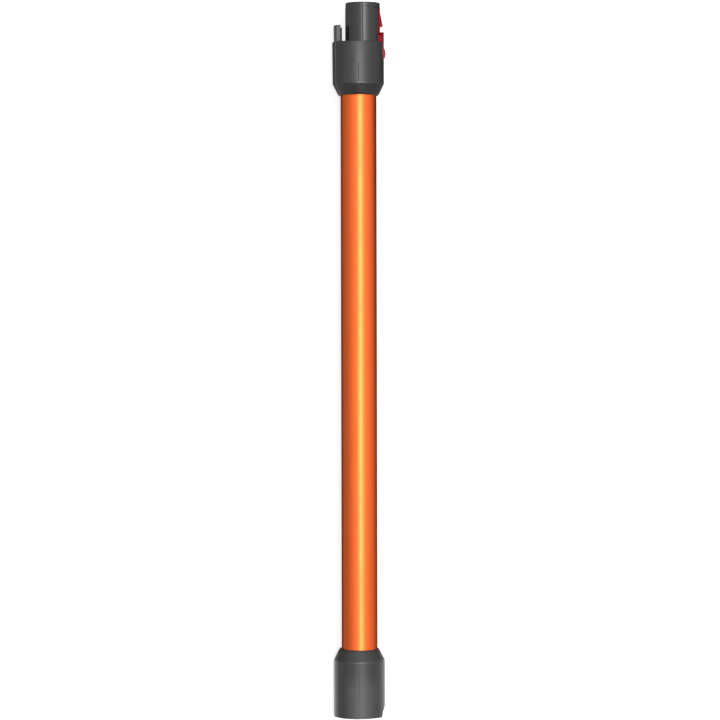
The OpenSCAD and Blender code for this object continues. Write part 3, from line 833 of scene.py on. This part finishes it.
# ------------------------------------------------------------------ floor
fm, nt, b = new_material("studio_floor")
v = coords(nt, (1, 1, 1))
nt.links.new(ramp(nt, noise(nt, v, 3, 3.0), [(0.3, (0.60, 0.60, 0.60)), (0.7, (0.63, 0.63, 0.63))]), b.inputs["Base Color"])
b.inputs["Roughness"].default_value = 0.9
b.inputs["Specular IOR Level"].default_value = 0.0
b.inputs["Emission Color"].default_value = (1, 1, 1, 1)
b.inputs["Emission Strength"].default_value = 0.72
me = bpy.data.meshes.new("studio_floor")
S = 4.0
me.from_pydata([(-S, -S, 0), (S, -S, 0), (S, S, 0), (-S, S, 0)], [], [(0, 1, 2, 3)])
me.materials.append(fm)
floor = link(bpy.data.objects.new("studio_floor", me))
floor.visible_glossy = False

# ------------------------------------------------------------------ studio light
# A tall soft strip just right of the camera, broad dim panels at the sides and dark gaps between
# them, drawn as the surroundings' brightness by angle round the wand's length.
wd = bpy.data.worlds.new("studio")
bpy.context.scene.world = wd
wd.use_nodes = True
nt = wd.node_tree
nt.nodes.clear()
out = nt.nodes.new("ShaderNodeOutputWorld")
bg = nt.nodes.new("ShaderNodeBackground")
nt.links.new(bg.outputs[0], out.inputs[0])
tc = nt.nodes.new("ShaderNodeTexCoord")


def dot(vec):
    d = nt.nodes.new("ShaderNodeVectorMath")
    d.operation = "DOT_PRODUCT"
    nt.links.new(tc.outputs["Generated"], d.inputs[0])
    d.inputs[1].default_value = vec
    return d.outputs["Value"]


def arith(op, a, b_):
    m = nt.nodes.new("ShaderNodeMath")
    m.operation = op
    for i, x in enumerate((a, b_)):
        if isinstance(x, (int, float)):
            m.inputs[i].default_value = x
        else:
            nt.links.new(x, m.inputs[i])
    return m.outputs[0]


side, front, along = dot(direction(1, 0, 0)), dot(direction(0, -1, 0)), dot((0, 1, 0))
phi = arith("ARCTAN2", side, front)
fac = arith("MULTIPLY_ADD", phi, 1 / (2 * math.pi))
fac.node.inputs[2].default_value = 0.5


def light_ramp(stops):
    """stops: (degrees from the camera towards the catch side, brightness)."""
    top = max(e for _, e in stops)
    col = ramp(nt, fac, [(0.5 + a / 360, (e / top,) * 3) for a, e in stops], "EASE")
    return arith("MULTIPLY", col, top)


MACHINE_END = [(-180, 0.30), (-160, 0.30), (-144, 0.20), (-128, 0.22), (-112, 0.54), (-95, 0.64), (-60, 0.84), (-35, 1.06), (-15, 1.42), (-5, 1.42),
               (20, 1.25), (40, 1.20), (55, 1.12), (85, 0.85), (105, 0.48), (120, 0.20), (135, 0.08), (180, 0.08)]
TOOL_END = [(-180, 0.26), (-165, 0.20), (-147, 0.08), (-131, 0.22), (-118, 0.55), (-107, 0.48), (-97, 0.38), (-78, 0.50), (-60, 0.70),
            (-35, 1.28), (-15, 1.65), (-5, 1.55), (20, 1.70), (35, 1.62), (50, 1.30), (85, 0.93), (105, 0.66), (122, 0.48), (138, 0.20),
            (155, 0.30), (180, 0.30)]
STRIP = [(-180, 0), (-16, 0), (-7, 0.8), (0.5, 3.5), (7, 7.0), (14.5, 4.9), (22.5, 2.2), (33, 0.6), (47, 0), (180, 0)]
FLANKS = [(-180, 0.35), (-88, 0.35), (-66, 1.0), (92, 1.0), (118, 0.35), (180, 0.35)]
BELOW = [(-180, 0.52), (-60, 0.52), (-30, 0.38), (-10, 0.05), (14, 0.05), (30, 0.40), (50, 0.56), (75, 0.50), (180, 0.46)]
e1, e2, e3, e4, e5 = (light_ramp(stops) for stops in (MACHINE_END, TOOL_END, STRIP, FLANKS, BELOW))


def fade(value, a, b_):
    m = nt.nodes.new("ShaderNodeMapRange")
    m.interpolation_type = "SMOOTHSTEP"
    m.inputs["From Min"].default_value = a
    m.inputs["From Max"].default_value = b_
    nt.links.new(value, m.inputs["Value"])
    return m.outputs["Result"]


mx = nt.nodes.new("ShaderNodeMix")
mx.data_type = "FLOAT"
nt.links.new(fade(along, -0.18, 0.18), mx.inputs[0])
nt.links.new(e2, mx.inputs[2])
nt.links.new(e1, mx.inputs[3])
window = arith("MULTIPLY", fade(along, -0.26, -0.18), fade(along, 0.27, 0.14))
ends = arith("MULTIPLY_ADD", fade(along, 0.62, 0.34), 0.30)
ends.node.inputs[2].default_value = 0.70
# towards the tool's chamfer the side panels end
shade = arith("SUBTRACT", 1.0, arith("MULTIPLY", fade(along, 0.18, 0.32), arith("SUBTRACT", 1.0, e4)))
ends = arith("MULTIPLY", ends, shade)
light = arith("ADD", arith("MULTIPLY", mx.outputs[0], ends), arith("MULTIPLY", e3, window))
# below the machine's chamfer there is only even, dim light
dim = fade(along, -0.17, -0.29)
light = arith("ADD", arith("MULTIPLY", light, arith("SUBTRACT", 1.0, dim)), arith("MULTIPLY", dim, e5))
nt.links.new(light, bg.inputs["Strength"])
bg.inputs["Color"].default_value = (1, 1, 1, 1)
wd.cycles.sampling_method = "MANUAL"
wd.cycles.sample_map_resolution = 1024

sc = bpy.context.scene
sc.view_settings.view_transform = "Standard"
sc.view_settings.look = "None"
sc.view_settings.exposure = 0.0
sc.view_settings.gamma = 1.0

# ------------------------------------------------------------------ camera
cam_data = bpy.data.cameras.new("camera")
cam_data.sensor_width = 36.0
cam_data.lens = LENS
cam_data.clip_start, cam_data.clip_end = 0.05, 50
cam = link(bpy.data.objects.new("camera", cam_data))
tilt, pitch = math.radians(CAM_TILT), math.radians(CAM_PITCH)
level = direction(0, 1, 0)
fwd = level * math.cos(pitch) - Vector((0, 1, 0)) * math.sin(pitch)
rise = Vector((0, 1, 0)) * math.cos(pitch) + level * math.sin(pitch)
right = direction(1, 0, 0) * math.cos(tilt) - rise * math.sin(tilt)
up = rise * math.cos(tilt) + direction(1, 0, 0) * math.sin(tilt)
rot = Matrix((right, up, -fwd)).transposed()
cam.matrix_world = Matrix.Translation(world(CAM_U, -CAM_D, CAM_W)) @ rot.to_4x4()
sc.camera = cam
